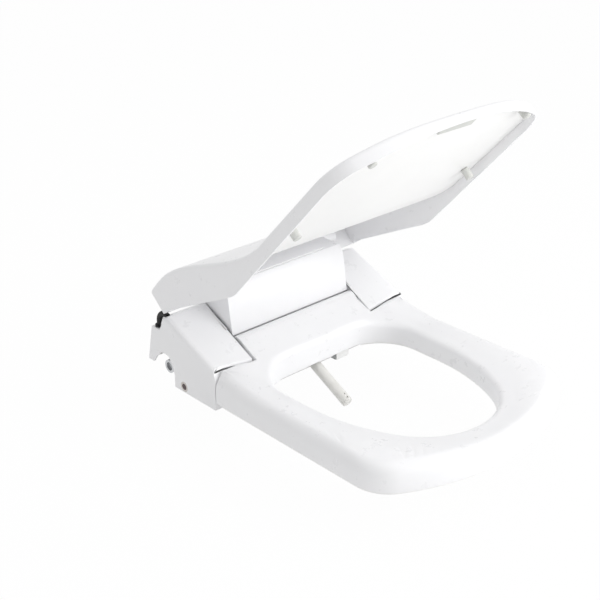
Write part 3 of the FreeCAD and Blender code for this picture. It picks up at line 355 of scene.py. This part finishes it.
def lidShell(look):
    shell = outlineLoop("lidShell", 0, look["halfWidth"], look["tip"], look["rear"],
                        look["corner"], look["front"], {"side": 1, "corner": 14, "front": 28})
    lineTo(-look["halfWidth"], -look["rear"], 0, 1)
    mergeEnds()
    bpy.ops.mesh.select_all(action="SELECT")
    bpy.ops.mesh.edge_face_add()
    tall = look["blockTall"]
    bpy.ops.mesh.extrude_region_move(TRANSFORM_OT_translate={"value": (0, 0, tall)})
    bpy.ops.mesh.select_all(action="SELECT")
    bpy.ops.mesh.normals_make_consistent(inside=False)
    select("FACE", lambda face: face.normal.z < -0.9)
    bpy.ops.mesh.delete(type="FACE")
    select("EDGE", lambda edge: all(vert.co.z > tall - 1e-5 for vert in edge.verts))
    bpy.ops.mesh.bevel(offset=look["topRound"], segments=6, affect="EDGES")
    low = -look["tip"] + 0.004
    count = look["slices"]
    for index in range(count):
        y = low + (-look["rear"] - 0.009 - low) * index / (count - 1)
        bpy.ops.mesh.select_all(action="SELECT")
        bpy.ops.mesh.bisect(plane_co=(0, y, 0), plane_no=(0, 1, 0))
    for x in (-look["gapHalf"], look["gapHalf"]):
        bpy.ops.mesh.select_all(action="SELECT")
        bpy.ops.mesh.bisect(plane_co=(x, 0, 0), plane_no=(1, 0, 0))
    bpy.ops.mesh.select_all(action="SELECT")
    bpy.ops.mesh.bisect(plane_co=(0, look["gapFrom"], 0), plane_no=(0, 1, 0))
    gapHalf, gapFrom = look["gapHalf"] - 1e-4, look["gapFrom"] - 1e-4
    select("FACE", lambda face: abs(face.calc_center_median().x) < gapHalf and
           face.calc_center_median().y > gapFrom)
    bpy.ops.mesh.delete(type="FACE")
    done()
    for vert in shell.data.vertices:
        x, y, z = vert.co
        top = lidTop(look, y)
        if z > tall / 2:
            vert.co.z = top - (tall - z)
        else:
            vert.co.z = lidRim(look, y)
    useModifier(shell, "SOLIDIFY", thickness=look["wall"], offset=-1, use_even_offset=True)
    arms = []
    spot = Vector(joints["lid_open"]["pos_m"])
    for side in (-1, 1):
        deselectAll()
        x = side * (look["gapHalf"] + 0.0016 + look["armReach"] / 2)
        bpy.ops.mesh.primitive_cylinder_add(vertices=48, radius=look["armRound"], depth=look["armReach"],
                                            location=(x, spot.y, spot.z), rotation=(0, math.pi / 2, 0))
        arm = bpy.context.object
        bpy.ops.object.transform_apply(location=True, rotation=True)
        edit(arm)
        mid = spot.z + 0.004
        select("FACE", lambda face: abs(face.normal.x) < 0.5 and face.calc_center_median().z > mid)
        bpy.ops.mesh.extrude_region_move(TRANSFORM_OT_translate={"value": (0, 0, look["armWeb"])})
        done()
        arms.append(arm)
    shell = joined([shell] + arms, "lidShell")
    useModifier(shell, "BEVEL", width=0.0007, segments=2, limit_method="ANGLE", angle_limit=math.radians(55))
    turnedOpen(shell, look, joints["lid_open"])
    smooth(shell, 38)
    return shell


lid = lidShell(lidLook)
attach(lid, "lid")
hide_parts("lid_outer_shell")
print("lid made")


# shoulders beside the hinges

shoulderLook = {"edgeRound": 0.0088, "dipFrom": 0.176, "dipSlope": 0.17, "dipBack": -0.080, "dipEnd": -0.050,
                "slices": (0.130, 0.140, 0.150, 0.160, 0.168, 0.176, 0.184),
                "edgeFront": -0.0802, "edgeBack": 0.048, "edgeLow": 0.0605,
                "skinUp": 0.0547, "skinBack": 0.0852, "skinSlope": 0.399}


def shoulder(name, label, look):
    cover = copyOfNode(name, label)
    edit(cover)
    mostX = max(abs(vert.co.x) for vert in cover.data.vertices)
    for x in look["slices"]:
        for side in (-1, 1):
            bpy.ops.mesh.select_all(action="SELECT")
            bpy.ops.mesh.bisect(plane_co=(side * x, 0, 0), plane_no=(1, 0, 0))

    def outerEdge(edge):
        return all(abs(abs(vert.co.x) - mostX) < 1e-4 and vert.co.z > look["edgeLow"] and
                   look["edgeFront"] < vert.co.y < look["edgeBack"] for vert in edge.verts)

    select("EDGE", outerEdge)
    bpy.ops.mesh.bevel(offset=look["edgeRound"], segments=7, affect="EDGES", clamp_overlap=False)
    done()
    for vert in cover.data.vertices:
        x, y, z = vert.co
        skinTop = look["skinUp"] + (y + look["skinBack"]) * look["skinSlope"]
        if z < skinTop - 0.006 or y > look["dipEnd"]:
            continue
        share = 1 - blendStep(look["dipBack"], look["dipEnd"], y)
        vert.co.z -= max(0.0, look["dipFrom"] - abs(x)) * look["dipSlope"] * share
    useModifier(cover, "BEVEL", width=0.0010, segments=3, limit_method="ANGLE", angle_limit=math.radians(32))
    smooth(cover, 40)
    return cover


for name, label in (("left_side_cover", "leftShoulder"), ("right_side_cover", "rightShoulder")):
    cover = shoulder(name, label, shoulderLook)
    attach(cover, "housing")
    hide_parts(name)
print("shoulders made")


# other mouldings, with their edges eased

easedMouldings = {
    "centre_cover": ("centreHousing", 0.0016), "rear_cover": ("rearPanel", 0.0009),
    "hinge_cover": ("hingeCap", 0.0010), "lid_front_pad": ("lidTipPad", 0.0010),
    "lid_inner_panel": ("lidInnerPanel", 0.0005), "base_pan": ("basePan", 0.0006),
    "mounting_plate": ("mountingPlate", 0.0010), "filter_cartridge": ("filterCartridge", 0.0012),
    "seat_bottom_shell": ("seatUnderside", 0.0010), "dryer_flap": ("dryerFlap", 0.0003)}
bodyOf = {node: body for body, members in frame["record"]["behaviour"]["bodies"].items() for node in members}
eased = {}
for name, (label, width) in easedMouldings.items():
    piece = copyOfNode(name, label)
    useModifier(piece, "BEVEL", width=width, segments=3, limit_method="ANGLE", angle_limit=math.radians(28))
    smooth(piece, 35)
    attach(piece, bodyOf[name])
    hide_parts(name)
    eased[name] = piece
foilLook = {"sink": 0.0036}  # the foil lies against the inside of the dished seat top
foil = copyOfNode("seat_heater_foil", "heaterFoil")
for vert in foil.data.vertices:
    vert.co.z -= foilLook["sink"]
smooth(foil, 35)
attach(foil, "seat")
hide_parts("seat_heater_foil")
eased["seat_heater_foil"] = foil
# the lid's lining sits high under its top, so that the skirt reads deep; its buffers reach up to it
liningLook = {"rise": 0.0062, "bufferSplit": 0.5}
lidUp = Matrix.Rotation(math.radians(-lidLook["open"]), 3, "X") @ Vector((0, 0, 1))
for name in ("lid_inner_panel", "lid_front_pad"):
    for vert in eased[name].data.vertices:
        vert.co += lidUp * liningLook["rise"]
buffers = copyOfNode("lid_buffers", "lidBuffers")
heights = [vert.co.dot(lidUp) for vert in buffers.data.vertices]
split = min(heights) + (max(heights) - min(heights)) * liningLook["bufferSplit"]
for vert, height in zip(buffers.data.vertices, heights):
    if height > split:
        vert.co += lidUp * liningLook["rise"]
useModifier(buffers, "BEVEL", width=0.0014, segments=4, limit_method="ANGLE", angle_limit=math.radians(40))
smooth(buffers, 40)
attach(buffers, "lid")
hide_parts("lid_buffers")
eased["lid_buffers"] = buffers
print("mouldings eased:", len(eased))


# materials

def linear(code):  # sRGB hex to linear
    values = [int(code[index:index + 2], 16) / 255 for index in (1, 3, 5)]
    return [v / 12.92 if v <= 0.04045 else ((v + 0.055) / 1.055) ** 2.4 for v in values] + [1]


def addNode(tree, kind, settings=None, **inputs):
    node = tree.nodes.new(kind)
    for key, value in (settings or {}).items():
        setattr(node, key, value)
    for key, value in inputs.items():
        if key[0] == "i" and key[1:].isdigit():  # i0, i1 and so on are inputs by number
            socket = node.inputs[int(key[1:])]
        else:
            socket = node.inputs[key.replace("_", " ")]
        if isinstance(value, bpy.types.NodeSocket):
            tree.links.new(value, socket)
        else:
            socket.default_value = value
    return node


finishes = {
    # injection-moulded ABS, high gloss: milky white, faint flow mottling, very soft ripple in reflections
    "glossWhiteAbs": {"colour": "#F6F6F7", "shade": "#F3F3F5", "rough": (0.27, 0.31), "patch": 60,
                      "bump": 9, "depth": 0.00001, "ior": 1.53, "scuff": 0.15},
    # moulded ABS inside the lid, a little less polished
    "satinWhiteAbs": {"colour": "#F7F7F6", "shade": "#F4F4F3", "rough": (0.34, 0.42), "patch": 50,
                      "bump": 5, "depth": 0.00002, "ior": 1.53, "scuff": 0.15},
    # polypropylene from a spark-eroded mould: fine matt grain
    "grainedPolypropylene": {"colour": "#E4E4E3", "shade": "#DADAD8", "rough": (0.45, 0.60), "patch": 40,
                             "bump": 1.2, "depth": 0.00008, "ior": 1.49, "scuff": 0.5},
    # unpainted grey glass-filled nylon, drawn coarse so that its fibres show
    "glassFilledNylon": {"colour": "#B9BBBC", "shade": "#A6A9AB", "rough": (0.45, 0.65), "patch": 18,
                         "bump": 1.5, "depth": 0.0001, "ior": 1.53, "scuff": 0.3},
    "blackNylon": {"colour": "#1C1D1F", "shade": "#2A2B2E", "rough": (0.40, 0.60), "patch": 14,
                   "bump": 1.2, "depth": 0.00008, "ior": 1.53, "scuff": 0.5},
    "darkAcetal": {"colour": "#3A3C3E", "shade": "#474A4C", "rough": (0.28, 0.40), "patch": 20,
                   "bump": 1.0, "depth": 0.00005, "ior": 1.48, "scuff": 0.3},
    # acetal gears: waxy off-white
    "naturalAcetal": {"colour": "#E9E5D6", "shade": "#DFDAC8", "rough": (0.25, 0.38), "patch": 15,
                      "bump": 0.8, "depth": 0.00004, "ior": 1.48, "scuff": 0.2},
    # polished nozzle tube, greyer than the shells because it is polypropylene with silver ions
    "nozzlePolypropylene": {"colour": "#ECEBE7", "shade": "#E4E3DF", "rough": (0.22, 0.34), "patch": 12,
                            "bump": 1.5, "depth": 0.00003, "ior": 1.49, "scuff": 0.5},
    # extruded EPDM: sooty black, dull, with bloom in patches
    "extrudedEpdm": {"colour": "#0B0B0C", "shade": "#1A1A1B", "rough": (0.50, 0.75), "patch": 10,
                     "bump": 0.9, "depth": 0.0001, "ior": 1.5, "scuff": 0.3},
    # moulded thermoplastic elastomer for pads: soft pale grey, quite dull
    "greyElastomer": {"colour": "#D9DAD6", "shade": "#CFD0CC", "rough": (0.50, 0.65), "patch": 12,
                      "bump": 1.0, "depth": 0.00008, "ior": 1.5, "scuff": 0.4},
    "siliconeHose": {"colour": "#D8DEDE", "shade": "#CBD2D2", "rough": (0.30, 0.45), "patch": 10,
                     "bump": 1.0, "depth": 0.00005, "ior": 1.43, "scuff": 0.2},
    # glass-epoxy board with green solder resist
    "solderResist": {"colour": "#1C5A34", "shade": "#174C2C", "rough": (0.25, 0.40), "patch": 8,
                     "bump": 1.0, "depth": 0.00008, "ior": 1.55, "scuff": 0.3},
    "smokedPolycarbonate": {"colour": "#3A1016", "shade": "#2A0A10", "rough": (0.06, 0.12), "patch": 6,
                            "bump": 2.0, "depth": 0.00001, "ior": 1.58, "scuff": 0.1},
    "bezelAbs": {"colour": "#D9D4D0", "shade": "#CFC9C4", "rough": (0.20, 0.30), "patch": 8,
                 "bump": 2.0, "depth": 0.00002, "ior": 1.53, "scuff": 0.2},
    # bright nickel-chrome on brass: clear mirror with a slightly greasy film
    "brightChromePlate": {"colour": "#C9CACC", "shade": "#BFC1C4", "rough": (0.08, 0.22), "patch": 6,
                          "bump": 2.0, "depth": 0.00001, "metallic": 1, "scuff": 0.5},
    "turnedBrass": {"colour": "#C9A45C", "shade": "#B8934C", "rough": (0.22, 0.38), "patch": 5,
                    "bump": 0.6, "depth": 0.00003, "metallic": 1, "stretch": (30, 1, 1), "scuff": 0.5},
    # ground stainless pins: fine lines round the axis
    "groundStainless": {"colour": "#B9BABB", "shade": "#A7A9AB", "rough": (0.20, 0.36), "patch": 8,
                        "bump": 0.6, "depth": 0.00002, "metallic": 1, "stretch": (20, 1, 1), "scuff": 0.4},
    "zincPlatedSteel": {"colour": "#9A9DA0", "shade": "#8B8F93", "rough": (0.32, 0.50), "patch": 6,
                        "bump": 0.8, "depth": 0.00004, "metallic": 1, "scuff": 0.5},
    "rolledFoil": {"colour": "#C9CBCD", "shade": "#BDBFC2", "rough": (0.18, 0.35), "patch": 12,
                   "bump": 5, "depth": 0.0002, "metallic": 1, "scuff": 0.3},
    "sleevedAluminium": {"colour": "#3C4560", "shade": "#343C55", "rough": (0.28, 0.40), "patch": 5,
                         "bump": 1.0, "depth": 0.00002, "ior": 1.5, "scuff": 0.3},
}


def makeFinish(name, look):
    material = bpy.data.materials.new(name)
    material.use_nodes = True
    tree = material.node_tree
    shader = tree.nodes["Principled BSDF"]
    place = addNode(tree, "ShaderNodeTexCoord").outputs["Object"]
    if "stretch" in look:
        place = addNode(tree, "ShaderNodeMapping", i0=place, Scale=look["stretch"]).outputs[0]
    mottle = addNode(tree, "ShaderNodeTexNoise", Vector=place, Scale=1000 / look["patch"], Detail=3.0,
                     Roughness=0.55).outputs[0]
    tone = addNode(tree, "ShaderNodeMix", {"data_type": "RGBA"}, i0=mottle, i6=linear(look["colour"]),
                   i7=linear(look["shade"])).outputs[2]
    tree.links.new(tone, shader.inputs["Base Color"])
    rub = addNode(tree, "ShaderNodeTexNoise", Vector=place, Scale=1000 / (look["patch"] * 0.35), Detail=6.0,
                  Roughness=0.7).outputs[0]
    low, high = look["rough"]
    polish = addNode(tree, "ShaderNodeMapRange", i0=rub, i1=0.35, i2=0.70, i3=low, i4=high).outputs[0]
    worn = addNode(tree, "ShaderNodeNewGeometry").outputs["Pointiness"]
    wear = addNode(tree, "ShaderNodeMapRange", i0=worn, i1=0.52, i2=0.60, i3=0.0,
                   i4=0.10 * look["scuff"]).outputs[0]
    rough = addNode(tree, "ShaderNodeMath", {"operation": "ADD", "use_clamp": True},
                    i0=polish, i1=wear).outputs[0]
    tree.links.new(rough, shader.inputs["Roughness"])
    grain = addNode(tree, "ShaderNodeTexNoise", Vector=place, Scale=1000 / look["bump"],
                    Detail=2.0).outputs[0]
    bump = addNode(tree, "ShaderNodeBump", Strength=1.0, Distance=look["depth"], Height=grain).outputs[0]
    tree.links.new(bump, shader.inputs["Normal"])
    shader.inputs["Metallic"].default_value = look.get("metallic", 0)
    if "ior" in look:
        shader.inputs["IOR"].default_value = look["ior"]
    return material


materials = {name: makeFinish(name, look) for name, look in finishes.items()}
wornBy = {
    "glossWhiteAbs": "left_side_cover right_side_cover centre_cover rear_cover hinge_cover release_button "
                     "seat_top_shell lid_outer_shell",
    "satinWhiteAbs": "lid_inner_panel seat_bottom_shell dryer_flap",
    "grainedPolypropylene": "base_pan mounting_plate bolt_adjusters filter_guide nozzle_cradle release_latch "
                            "flow_valve board_standoffs",
    "glassFilledNylon": "dryer_duct dryer_fan_housing odour_fan_housing solenoid_valve water_tank",
    "blackNylon": "dryer_fan_wheel odour_fan_wheel filter_cartridge ir_receiver",
    "darkAcetal": "seat_damper lid_damper seat_pin_bearing",
    "naturalAcetal": "drive_pinion nozzle_rack nozzle_hose_port",
    "nozzlePolypropylene": "nozzle_tube nozzle_tip",
    "extrudedEpdm": "inlet_hose hose_grommet cord_gland",
    "greyElastomer": "seat_bumpers lid_buffers lid_front_pad",
    "siliconeHose": "tank_hose",
    "solderResist": "circuit_board occupancy_sensor",
    "smokedPolycarbonate": "window_lens",
    "bezelAbs": "window_bezel",
    "brightChromePlate": "inlet_nipple",
    "turnedBrass": "inlet_nut",
    "groundStainless": "seat_hinge_pins lid_hinge_shaft tank_heater inlet_strainer",
    "zincPlatedSteel": "cover_screws nozzle_motor dryer_motor odour_motor transformer",
    "rolledFoil": "seat_heater_foil",
    "sleevedAluminium": "capacitors"}
pieceOf = dict(eased)
pieceOf.update({"seat_top_shell": seat, "lid_outer_shell": lid,
                "left_side_cover": bpy.data.objects["leftShoulder"],
                "right_side_cover": bpy.data.objects["rightShoulder"]})
for name, members in wornBy.items():
    for node in members.split():
        for piece in (nodes[node], pieceOf.get(node)):
            if piece:
                piece.data.materials.clear()
                piece.data.materials.append(materials[name])
for node in nodes:
    if node not in " ".join(wornBy.values()).split():
        print("no finish for", node)
print("finishes given:", len(materials))


# stage, light and camera

stageLook = {"floor": -0.062, "floorTone": "#F6F6F6", "skyTone": "#FFFFFF", "skyLight": 0.66,
             "key": 26, "keySpot": (0.9, -1.9, 1.0), "keySize": 1.8,
             "fill": 8, "fillSpot": (0.3, -0.2, 1.9), "fillSize": 2.0}


def makeStage(look):
    deselectAll()
    bpy.ops.mesh.primitive_plane_add(size=14, location=(0, 0, look["floor"]))
    floor = bpy.context.object
    floor.name = "floor"
    material = bpy.data.materials.new("studioFloor")
    material.use_nodes = True
    tree = material.node_tree
    paint = tree.nodes["Principled BSDF"]
    paint.inputs["Base Color"].default_value = linear(look["floorTone"])
    paint.inputs["Roughness"].default_value = 0.9
    ray = addNode(tree, "ShaderNodeLightPath")
    seen = addNode(tree, "ShaderNodeMath", {"operation": "MAXIMUM"}, i0=ray.outputs["Is Camera Ray"],
                   i1=ray.outputs["Is Glossy Ray"]).outputs[0]
    seen = addNode(tree, "ShaderNodeMath", {"operation": "MAXIMUM"}, i0=seen,
                   i1=ray.outputs["Is Transmission Ray"]).outputs[0]
    share = addNode(tree, "ShaderNodeMath", {"operation": "MULTIPLY"}, i0=seen, i1=0.97).outputs[0]
    glow = addNode(tree, "ShaderNodeEmission", Color=(1, 1, 1, 1), Strength=1.0).outputs[0]
    mixed = addNode(tree, "ShaderNodeMixShader", i0=share, i1=paint.outputs[0], i2=glow).outputs[0]
    tree.links.new(mixed, tree.nodes["Material Output"].inputs["Surface"])
    floor.data.materials.append(material)
    world = bpy.data.worlds.new("studioSky")
    bpy.context.scene.world = world
    world.use_nodes = True
    tree = world.node_tree
    sky = tree.nodes["Background"]
    sky.inputs["Color"].default_value = linear(look["skyTone"])
    ray = addNode(tree, "ShaderNodeLightPath")
    seen = addNode(tree, "ShaderNodeMath", {"operation": "MAXIMUM"}, i0=ray.outputs["Is Camera Ray"],
                   i1=ray.outputs["Is Transmission Ray"]).outputs[0]
    level = addNode(tree, "ShaderNodeMapRange", i0=seen, i1=0.0, i2=1.0, i3=look["skyLight"],
                    i4=1.0).outputs[0]
    tree.links.new(level, sky.inputs["Strength"])
    for name in ("key", "fill"):
        lamp = bpy.data.lights.new(name + "Softbox", "AREA")
        lamp.energy = look[name]
        lamp.size = look[name + "Size"]
        holder = bpy.data.objects.new(name + "Softbox", lamp)
        holder.location = look[name + "Spot"]
        aim = Vector((0, -0.2, 0.1)) - holder.location
        holder.rotation_euler = aim.to_track_quat("-Z", "Y").to_euler()
        bpy.context.scene.collection.objects.link(holder)


makeStage(stageLook)

cameraLook = {"spot": (-1.0828, -1.2139, 0.8565), "azimuth": -42.84, "elevation": 25.42, "lens": 70.18}


def makeCamera(look):
    camera = bpy.data.cameras.new("studioCamera")
    camera.lens = look["lens"]
    camera.sensor_width = 36
    holder = bpy.data.objects.new("studioCamera", camera)
    bpy.context.scene.collection.objects.link(holder)
    turn, rise = math.radians(look["azimuth"]), math.radians(look["elevation"])
    back = Vector((math.sin(turn) * math.cos(rise), -math.cos(turn) * math.cos(rise), math.sin(rise)))
    right = Vector((math.cos(turn), math.sin(turn), 0))
    up = back.cross(right)
    frameOfCamera = Matrix((right, up, back)).transposed().to_4x4()
    frameOfCamera.translation = Vector(look["spot"])
    holder.matrix_world = frameOfCamera
    bpy.context.scene.camera = holder


makeCamera(cameraLook)
bpy.context.scene.view_settings.view_transform = "Standard"
print("stage, light and camera set")
